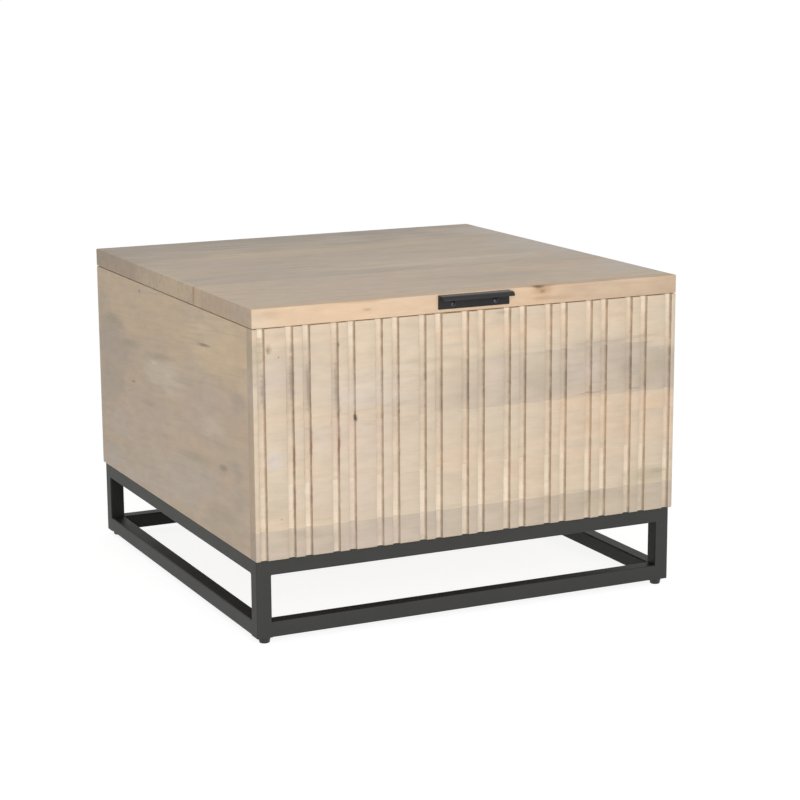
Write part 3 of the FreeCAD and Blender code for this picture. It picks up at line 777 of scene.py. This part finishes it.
def loft(loops, first=0):
    """Points and faces of a solid through loops of as many points each, numbered from first."""
    around = len(loops[0])
    points = [point for loop in loops for point in loop]
    last = first + len(points) - around
    ends = [tuple(range(first + around - 1, first - 1, -1)), tuple(range(last, last + around))]
    return points, ends + walls(first, around, len(loops))


def turned(profile, steps=40):
    """Points and faces of a round solid about Z, from (radius, height) points.
    The first and the last point lie on the axis."""
    points = [(0.0, 0.0, profile[0][1])]
    rings = profile[1:-1]
    for radius, height in rings:
        for step in range(steps):
            angle = 2 * math.pi * step / steps
            points.append((radius * math.cos(angle), radius * math.sin(angle), height))
    top = len(points)
    points.append((0.0, 0.0, profile[-1][1]))
    faces = walls(1, steps, len(rings))
    last = top - steps
    for step in range(steps):
        after = (step + 1) % steps
        faces += [(0, 1 + after, 1 + step), (last + step, last + after, top)]
    return points, faces


def loose_boxes(name):
    """(lowest corner, highest corner) of each separate solid in a CAD node, sorted by place."""
    work = bmesh.new()
    work.from_mesh(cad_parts[name].data)
    bmesh.ops.remove_doubles(work, verts=work.verts, dist=0.001 * MM)
    waiting = set(work.verts)
    boxes = []
    while waiting:
        reached = [waiting.pop()]
        for vert in reached:
            near = {edge.other_vert(vert) for edge in vert.link_edges} & waiting
            waiting -= near
            reached.extend(near)
        corners = list(zip(*[vert.co for vert in reached]))
        boxes.append((Vector(map(min, corners)), Vector(map(max, corners))))
    work.free()
    return sorted(boxes, key=lambda box: tuple(box[0]))


def eased(distance, radius):
    """How far a rounded edge lies behind its face, at a distance from where the face would end."""
    if distance >= radius:
        return 0.0
    return radius - math.sqrt(radius ** 2 - (radius - distance) ** 2)


def groove_starts(sizes, left, right):
    """The left side of each groove, in pairs centred on the front."""
    period = 2 * sizes.groove_width + sizes.wide_slat + sizes.narrow_slat
    pairs = round((right - left) / period)
    margin = (right - left - pairs * period + sizes.narrow_slat) / 2
    starts = []
    for pair in range(pairs):
        first = left + margin + pair * period
        starts += [first, first + sizes.groove_width + sizes.wide_slat]
    return starts


CHIP_START = 0.28  # noise above this chips the edge
EDGE_STRIDE = 3.7  # how far apart in the noise two edges lie
EASE_PARTS = (0.08, 0.3, 0.65, 1.0)  # levels of points in an eased edge, as shares of its radius
LEDGE_STEP = 0.01 * MM  # height in which the rabbet's ledge steps in
LEDGE_INSET = 0.5 * MM  # keeps the rabbet's points apart where there is none


def chipped_arris(sizes, edge, height):
    """Rounding of a groove's edge at this height, larger where the cutter has chipped the wood."""
    chance = noise.noise(Vector((edge * EDGE_STRIDE, height / sizes.chip_spacing, 0.5)))
    return sizes.arris + sizes.chip * max(0.0, chance - CHIP_START)


def front_row(sizes, box, height, ease, rabbeted):
    """One level of a front board: a loop of points from the left front corner round by the right."""
    low, high = box
    left = low.x + ease
    right = high.x - ease
    face = low.y + ease
    corner = sizes.edge_ease
    floor = low.y + sizes.groove_depth
    loop = arc_points((left + corner, face + corner), corner, 180, 90, 3)
    for number, start in enumerate(groove_starts(sizes, low.x, high.x)):
        end = start + sizes.groove_width
        near = chipped_arris(sizes, 2 * number, height)
        far = chipped_arris(sizes, 2 * number + 1, height)
        loop += arc_points((start - near, face + near), near, 270, 90, 2)
        inner = sizes.cutter_radius
        loop += arc_points((start + inner, floor - inner), inner, 180, -90, 3)
        loop += arc_points((end - inner, floor - inner), inner, 90, -90, 3)
        loop += arc_points((end + far, face + far), far, 180, 90, 2)
    loop += arc_points((right - corner, face + corner), corner, 270, 90, 3)
    side = high.x - (high.y - low.y - sizes.rabbet_depth)
    depth = high.y - sizes.rabbet_depth if rabbeted else high.y
    step = side if rabbeted else side - LEDGE_INSET
    loop += [(right, high.y), (side, high.y), (step, depth)]
    loop += [(-step, depth), (-side, high.y), (left, high.y)]
    return [(x, y, height) for x, y in loop]


def grooved_board(name, box, foot, top):
    """A front board with milled grooves; foot and top are the ends of the whole front, which are eased."""
    sizes = bpy.context.scene.table_front
    low, high = box
    count = round((high.z - low.z) / sizes.row_step)
    heights = {low.z + (high.z - low.z) * step / count for step in range(count + 1)}
    for part in EASE_PARTS:
        if low.z - foot < MM:
            heights.add(foot + part * sizes.edge_ease)
        if top - high.z < MM:
            heights.add(top - part * sizes.edge_ease)
    ledge = foot + sizes.rabbet_height
    rows = [(height, height < ledge) for height in sorted(heights)]
    if low.z < ledge < high.z:
        rows = sorted(rows + [(ledge - LEDGE_STEP, True), (ledge, False)])
    loops = []
    for height, rabbeted in rows:
        ease = max(eased(height - foot, sizes.edge_ease), eased(top - height, sizes.edge_ease))
        loops.append(front_row(sizes, box, height, ease, rabbeted))
    return plain_mesh(name, *loft(loops))


class STORAGE_TABLE_OT_front_boards(bpy.types.Operator):
    """Mill the five grooved boards of the front"""

    bl_idname = "storage_table.front_boards"
    bl_label = "Grooved front boards"

    def execute(self, context):
        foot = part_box("front_board_1")[0].z
        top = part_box("front_board_5")[1].z
        for number, (name, board) in enumerate(FRONT_BOARDS.items(), 1):
            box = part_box(name)
            piece = "grooved_board_%d" % number
            material = limed_mango("limed_mango_" + piece, box, board)
            mesh = grooved_board(piece, box, foot, top)
            new_piece(piece, mesh, material, "chest", "mango_wood", name)
        return {"FINISHED"}


class STORAGE_TABLE_OT_plain_boards(bpy.types.Operator):
    """Finish the boards of the lid, the sides and the back"""

    bl_idname = "storage_table.plain_boards"
    bl_label = "Lid and wall boards"

    def execute(self, context):
        for name, (nodes, board) in {**LID_PLANKS, **WALL_PLANKS}.items():
            plank = (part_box(nodes[0])[0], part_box(nodes[-1])[1])
            figure = limed_mango("limed_mango_" + name, plank, board)
            for board_node in nodes:
                finish_node(board_node, figure)
        return {"FINISHED"}


class STORAGE_TABLE_OT_inner_wood(bpy.types.Operator):
    """Finish the bottom panel and the corner dowels"""

    bl_idname = "storage_table.inner_wood"
    bl_label = "Bottom panel and dowels"

    def execute(self, context):
        finish_node("bottom_panel", birch_plywood("raw_birch_plywood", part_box("bottom_panel")))
        finish_node("corner_dowels", fluted_beech("raw_beech_dowel"))
        return {"FINISHED"}


def pull_outline(sizes, low, high):
    """(y, z) points round the pull's end: up the plate's back, out over the lip and back underneath."""
    back = high.y
    top = high.z
    under = top - sizes.thickness
    tip = low.y + sizes.tip_radius
    tip_level = top - sizes.tip_radius
    bend = back - sizes.thickness - sizes.bend_radius
    bend_level = under - sizes.bend_radius
    outline = [(back, low.z), (back, top)]
    outline += arc_points((tip, tip_level), sizes.tip_radius, 90, 90, 10)
    outline += arc_points((tip, tip_level), sizes.tip_radius - sizes.thickness, 180, -90, 8)
    outline += arc_points((bend, bend_level), sizes.bend_radius, 90, -90, 6)
    outline.append((back - sizes.thickness, low.z))
    return outline


class STORAGE_TABLE_OT_edge_pull(bpy.types.Operator):
    """Bend the pull on the lid's front edge, with soft coated edges"""

    bl_idname = "storage_table.edge_pull"
    bl_label = "Edge pull"

    def execute(self, context):
        sizes = context.scene.table_pull
        looks = context.scene.table_steel
        low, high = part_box("lid_pull")
        outline = pull_outline(sizes, low, high)
        ends = [[(x, y, z) for y, z in outline] for x in (low.x, high.x)]
        mesh = plain_mesh("edge_pull", *loft(ends))
        work = bmesh.new()
        work.from_mesh(mesh)
        sharp = [edge for edge in work.edges if edge.calc_face_angle(0.0) > SMOOTH_ANGLE]
        bmesh.ops.bevel(
            work, geom=sharp, offset=sizes.edge_round, segments=3, profile=0.5, affect="EDGES",
            clamp_overlap=True,
        )
        work.to_mesh(mesh)
        work.free()
        # The lip's front is painted paler: a painted highlight, and finger wear as well
        lip_highlight_span = (high.y - sizes.thickness - sizes.tip_radius, low.y)
        material = powder_coat("black_powder_coat", looks.pull_coat, rough=0.42, sheen=0.24, lip_highlight_span=lip_highlight_span)
        new_piece("edge_pull", mesh, material, "lid", "pull_steel", "lid_pull")
        return {"FINISHED"}


def cross_recess(reach):
    """Points and faces of the tapered cross that a driver bit fits, pointing up from just under Z 0."""
    width = 0.3 * reach
    depth = 1.1 * reach
    loops = []
    for level, size in ((-0.4 * reach, 1.15), (depth, 0.45)):
        loop = []
        for quarter in range(4):
            turn = Matrix.Rotation(quarter * math.pi / 2, 3, "Z")
            for x, y in ((reach, -width), (reach, width), (width, width)):
                loop.append(turn @ Vector((x * size, y * size, level)))
        loops.append(loop)
    return loft(loops)


def cut_out(body, cutter):
    """The first mesh with the second cut out of it."""
    block = bpy.data.objects.new("block", body)
    tool = bpy.data.objects.new("tool", cutter)
    bpy.context.scene.collection.objects.link(block)
    bpy.context.scene.collection.objects.link(tool)
    cut = block.modifiers.new("cut", "BOOLEAN")
    cut.operation = "DIFFERENCE"
    cut.solver = "EXACT"
    cut.object = tool
    graph = bpy.context.evaluated_depsgraph_get()
    result = bpy.data.meshes.new_from_object(block.evaluated_get(graph))
    bpy.data.objects.remove(block)
    bpy.data.objects.remove(tool)
    return result


SHANK_SHARE = 1 / 1.9  # shank over head diameter
HEAD_SHARE = 0.55  # head height over shank diameter
POINT_SHARE = 1.5  # point length over shank diameter
RIM_SHARE = 0.82  # where a dome meets its upright rim, over the head's height
RECESS_SHARE = 0.58  # reach of the cross over the head's radius
SCREW_SPIN = 0.7  # each screw stops this much further round than the one before, in radians


def screw_mesh(name, head, whole, domed):
    """A cross-head screw along +Z with its head's top at 0: domed over its seat, or countersunk."""
    shank = head * SHANK_SHARE
    rise = 2 * shank * HEAD_SHARE
    point = 2 * shank * POINT_SHARE
    if domed:
        crown = [(head * math.sin(a), rise * (1 - math.cos(a))) for a in (0.35, 0.7, 1.05, 1.35)]
        profile = [(0.0, 0.0)] + crown + [(head, rise * RIM_SHARE), (head, rise), (shank, rise)]
    else:
        profile = [(0.0, 0.0), (head * 0.97, 0.0), (head, 0.06 * head), (shank, rise)]
    profile += [(shank, whole - point), (0.0, whole)]
    body = plain_mesh(name, *turned(profile))
    recess = plain_mesh(name + "_recess", *cross_recess(RECESS_SHARE * head))
    return cut_out(body, recess)


# Screws of each CAD node: the body they move with, the way they are driven and the shape of their head
Screws = namedtuple("Screws", "body way domed slot")
SCREWS = {
    "lid_pull_screws": Screws("lid", Vector((0, 1, 0)), True, "black_screws"),
    "hinge_lid_screws": Screws("lid", Vector((0, 0, 1)), False, "zinc_screws"),
    "hinge_box_screws": Screws("chest", Vector((0, 0, -1)), False, "zinc_screws"),
    "bottom_screws": Screws("chest", Vector((0, 0, 1)), False, "zinc_screws"),
    "frame_screws": Screws("chest", Vector((0, 0, 1)), True, "zinc_screws"),
}


class STORAGE_TABLE_OT_screws(bpy.types.Operator):
    """Set cross-head screws in the pull, the hinges, the bottom and the frame"""

    bl_idname = "storage_table.screws"
    bl_label = "Cross-head screws"

    def execute(self, context):
        looks = context.scene.table_steel
        finishes = {
            "black_screws": metal("black_oxide_steel", looks.black_oxide, rough=0.48, cell=1.5 * MM),
            "zinc_screws": metal("zinc_plated_steel", looks.zinc, rough=0.32, cell=1.2 * MM),
        }
        for name, screws in SCREWS.items():
            along = max(range(3), key=lambda axis: abs(screws.way[axis]))
            side = (along + 1) % 3
            boxes = loose_boxes(name)
            low, high = boxes[0]
            head = (high[side] - low[side]) / 2
            pattern = screw_mesh(name + "_pattern", head, high[along] - low[along], screws.domed)
            turn = screws.way.to_track_quat("Z", "Y").to_matrix().to_4x4()
            driven = []
            for number, (low, high) in enumerate(boxes):
                seat = (low + high) / 2
                seat[along] = low[along] if screws.way[along] > 0 else high[along]
                screw = pattern.copy()
                spin = Matrix.Rotation(SCREW_SPIN * number, 4, "Z")
                screw.transform(Matrix.Translation(seat) @ turn @ spin)
                driven.append(screw)
            mesh = joined(name + "_driven", driven)
            new_piece(mesh.name, mesh, finishes[screws.slot], screws.body, screws.slot, name)
        return {"FINISHED"}


class STORAGE_TABLE_OT_steel_frame(bpy.types.Operator):
    """Coat the welded frame and its tabs"""

    bl_idname = "storage_table.steel_frame"
    bl_label = "Steel frame"

    def execute(self, context):
        looks = context.scene.table_steel
        # The frame's inward and up-facing faces get painted shade
        coat = powder_coat("charcoal_powder_coat", looks.frame_coat, rough=0.5, sheen=0.16, shade_inner_faces=True)
        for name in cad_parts:
            if name.startswith("frame_") and name not in SCREWS:
                finish_node(name, coat)
        return {"FINISHED"}


class STORAGE_TABLE_OT_hinges(bpy.types.Operator):
    """Plate the leaves and pins of the hinges"""

    bl_idname = "storage_table.hinges"
    bl_label = "Hinges"

    def execute(self, context):
        plating = metal("satin_zinc_plate", context.scene.table_steel.zinc, rough=0.36, cell=2.0 * MM)
        for side in SIDES:
            for piece in ("lid_leaf", "box_leaf", "pin"):
                finish_node("hinge_%s_%s" % (side, piece), plating)
        return {"FINISHED"}


THREAD_PITCH = 1.0 * MM
THREAD_DEPTH = 0.55 * MM
THREAD_STEPS = 24  # points round one turn
THREAD_SINK = 0.05 * MM  # how far the thread's foot is sunk in the core
STUD_LEAD = 0.4 * MM  # slope at the ends of the core


def threaded_stud(name, radius, whole):
    """A stud along +Z: a plain core with a thread wound round it, which runs out at both ends."""
    root = radius - THREAD_DEPTH
    end = root - STUD_LEAD
    core = [(0.0, 0.0), (end, 0.0), (root, STUD_LEAD), (root, whole - STUD_LEAD), (end, whole), (0.0, whole)]
    points, faces = turned(core, THREAD_STEPS)
    stations = int((whole - 2 * THREAD_PITCH) / THREAD_PITCH * THREAD_STEPS)
    half = THREAD_STEPS / 2
    loops = []
    for station in range(stations + 1):
        angle = 2 * math.pi * station / THREAD_STEPS
        level = THREAD_PITCH * (1 + station / THREAD_STEPS)
        rise = THREAD_DEPTH * min(1.0, station / half, (stations - station) / half)
        loop = []
        for out, shift in ((-THREAD_SINK, -0.42), (rise, -0.08), (rise, 0.08), (-THREAD_SINK, 0.42)):
            reach = root + out
            height = level + shift * THREAD_PITCH
            loop.append((reach * math.cos(angle), reach * math.sin(angle), height))
        loops.append(loop)
    thread_points, thread_faces = loft(loops, len(points))
    return plain_mesh(name, points + thread_points, faces + thread_faces)


class STORAGE_TABLE_OT_feet(bpy.types.Operator):
    """Fit the levelling feet with their threaded studs and inserts"""

    bl_idname = "storage_table.feet"
    bl_label = "Levelling feet"

    def execute(self, context):
        looks = context.scene.table_steel
        plastic = moulded("moulded_black_polypropylene", looks.plastic, rough=0.42, grit=0.8 * MM)
        plating = metal("zinc_plated_stud", looks.zinc, rough=0.34, cell=1.2 * MM)
        finish_node("foot_inserts", plastic)
        for corner in CORNERS:
            finish_node("foot_pad_" + corner, plastic)
            low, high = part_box("foot_stud_" + corner)
            stud = threaded_stud("threaded_stud_" + corner, (high.x - low.x) / 2, high.z - low.z)
            mesh = stood(stud, low, high)
            new_piece(mesh.name, mesh, plating, "foot_" + corner, "zinc_screws", "foot_stud_" + corner)
        return {"FINISHED"}


class STORAGE_TABLE_OT_lid_buttons(bpy.types.Operator):
    """Stick the soft buttons under the lid's front"""

    bl_idname = "storage_table.lid_buttons"
    bl_label = "Lid buttons"

    def execute(self, context):
        rubber = moulded("soft_polyurethane", context.scene.table_steel.rubber, rough=0.35, grit=0.8 * MM)
        buttons = []
        for low, high in loose_boxes("lid_bumpers"):
            radius = (high.x - low.x) / 2
            rise = high.z - low.z
            dome = [(radius * math.cos(a), rise * math.sin(a)) for a in (0.3, 0.7, 1.1)]
            profile = [(0.0, 0.0), (radius * 0.97, 0.0), (radius, 0.12 * rise)] + dome + [(0.0, rise)]
            buttons.append(stood(plain_mesh("lid_button", *turned(profile)), low, high))
        mesh = joined("lid_buttons", buttons)
        new_piece(mesh.name, mesh, rubber, "chest", "bumper_rubber", "lid_bumpers")
        return {"FINISHED"}


FLOOR_REACH = 80.0
FLOOR_CLOUD = 1.5  # size of the uneven patches in the floor's paint
KEY_SIZE = (2.6, 1.8)
FILL_SIZE = (2.2, 1.6)
AIM = Vector((0, 0, 0.24))


def seen_directly(tree):
    """1 for rays that show a surface, straight or in a mirror or glass, and 0 for rays that light it."""
    path = node(tree, "LightPath")
    seen = path.outputs["Is Camera Ray"]
    for kind in ("Is Glossy Ray", "Is Transmission Ray"):
        seen = node(tree, "Math", {0: seen, 1: path.outputs[kind]}, operation="MAXIMUM")
    return seen


def studio_floor(stage):
    """Matt painted floor: white to the eye, with the object's soft shadow left on it."""
    material, tree, coords, _ = blank_material("matt_white_floor")
    cloud = blotches(tree, coords, [FLOOR_CLOUD] * 3)
    shade = [c * 0.97 for c in stage.floor[:3]] + [1.0]
    paint = node(tree, "BsdfDiffuse", {"Color": tinted(tree, stage.floor, shade, cloud)})
    shadowed = node(tree, "BsdfDiffuse", {"Color": stage.seen_floor})
    glow = node(tree, "Emission", {"Color": WHITE, "Strength": stage.floor_glow})
    white = node(tree, "AddShader", {0: shadowed, 1: glow})
    shown = node(tree, "MixShader", {0: seen_directly(tree), 1: paint, 2: white})
    node(tree, "OutputMaterial", {"Surface": shown})
    return material


def soft_light(name, place, size, power):
    """A large soft light that faces the table."""
    light = bpy.data.lights.new(name, "AREA")
    light.shape = "RECTANGLE"
    light.size = size[0]
    light.size_y = size[1]
    light.energy = power
    lamp = bpy.data.objects.new(name, light)
    lamp.location = place
    lamp.rotation_euler = (AIM - Vector(place)).to_track_quat("-Z", "Y").to_euler()
    bpy.context.scene.collection.objects.link(lamp)


class STORAGE_TABLE_OT_stage(bpy.types.Operator):
    """Set the floor, the light and the camera"""

    bl_idname = "storage_table.stage"
    bl_label = "Stage"

    def execute(self, context):
        scene = context.scene
        stage = scene.table_stage
        reach = FLOOR_REACH
        mesh = plain_mesh(
            "studio_floor", [(-reach, -reach, 0), (reach, -reach, 0), (reach, reach, 0), (-reach, reach, 0)],
            [(0, 1, 2, 3)],
        )
        mesh.materials.append(studio_floor(stage))
        floor = bpy.data.objects.new("studio_floor", mesh)
        scene.collection.objects.link(floor)

        world = bpy.data.worlds.new("white_studio")
        scene.world = world
        world.use_nodes = True
        tree = world.node_tree
        tree.nodes.clear()
        even = node(tree, "Background", {"Color": WHITE, "Strength": stage.ambient})
        white = node(tree, "Background", {"Color": WHITE, "Strength": 1.0})
        shown = node(tree, "MixShader", {0: seen_directly(tree), 1: even, 2: white})
        node(tree, "OutputWorld", {"Surface": shown})

        soft_light("key_light", stage.key_place, KEY_SIZE, stage.key_power)
        soft_light("fill_light", stage.fill_place, FILL_SIZE, stage.fill_power)

        lens = bpy.data.cameras.new("camera")
        lens.lens = stage.lens
        camera = bpy.data.objects.new("camera", lens)
        camera.location = stage.camera_place
        camera.rotation_euler = Euler(stage.camera_turn)
        scene.collection.objects.link(camera)
        scene.camera = camera
        scene.view_settings.view_transform = "Standard"
        return {"FINISHED"}


SETTINGS = {
    "table_wood": WoodLooks,
    "table_front": FrontSizes,
    "table_pull": PullSizes,
    "table_steel": SteelLooks,
    "table_inner": InnerLooks,
    "table_stage": StageLooks,
}
STEPS = (
    STORAGE_TABLE_OT_front_boards,
    STORAGE_TABLE_OT_plain_boards,
    STORAGE_TABLE_OT_inner_wood,
    STORAGE_TABLE_OT_edge_pull,
    STORAGE_TABLE_OT_screws,
    STORAGE_TABLE_OT_steel_frame,
    STORAGE_TABLE_OT_hinges,
    STORAGE_TABLE_OT_feet,
    STORAGE_TABLE_OT_lid_buttons,
    STORAGE_TABLE_OT_stage,
)


class STORAGE_TABLE_PT_dressing(bpy.types.Panel):
    """Lists the settings and steps that dress the table"""

    bl_label = "Storage table"
    bl_space_type = "VIEW_3D"
    bl_region_type = "UI"
    bl_category = "Table"

    def draw(self, context):
        for step in STEPS:
            self.layout.operator(step.bl_idname)
        for key, group in SETTINGS.items():
            box = self.layout.box()
            box.label(text=group.__doc__)
            for name in group.__annotations__:
                box.prop(getattr(context.scene, key), name)


CLASSES = (*SETTINGS.values(), *STEPS, STORAGE_TABLE_PT_dressing)


def register():
    """Add the settings, steps and panel to Blender."""
    for kind in CLASSES:
        bpy.utils.register_class(kind)
    for key, group in SETTINGS.items():
        setattr(bpy.types.Scene, key, PointerProperty(type=group))


def unregister():
    """Take them away again."""
    for key in SETTINGS:
        delattr(bpy.types.Scene, key)
    for kind in reversed(CLASSES):
        bpy.utils.unregister_class(kind)


def main():
    """Dress the table and set the stage."""
    register()
    steps = bpy.ops.storage_table
    steps.front_boards()
    steps.plain_boards()
    steps.inner_wood()
    steps.edge_pull()
    steps.screws()
    steps.steel_frame()
    steps.hinges()
    steps.feet()
    steps.lid_buttons()
    steps.stage()


if __name__ == "__main__":
    main()
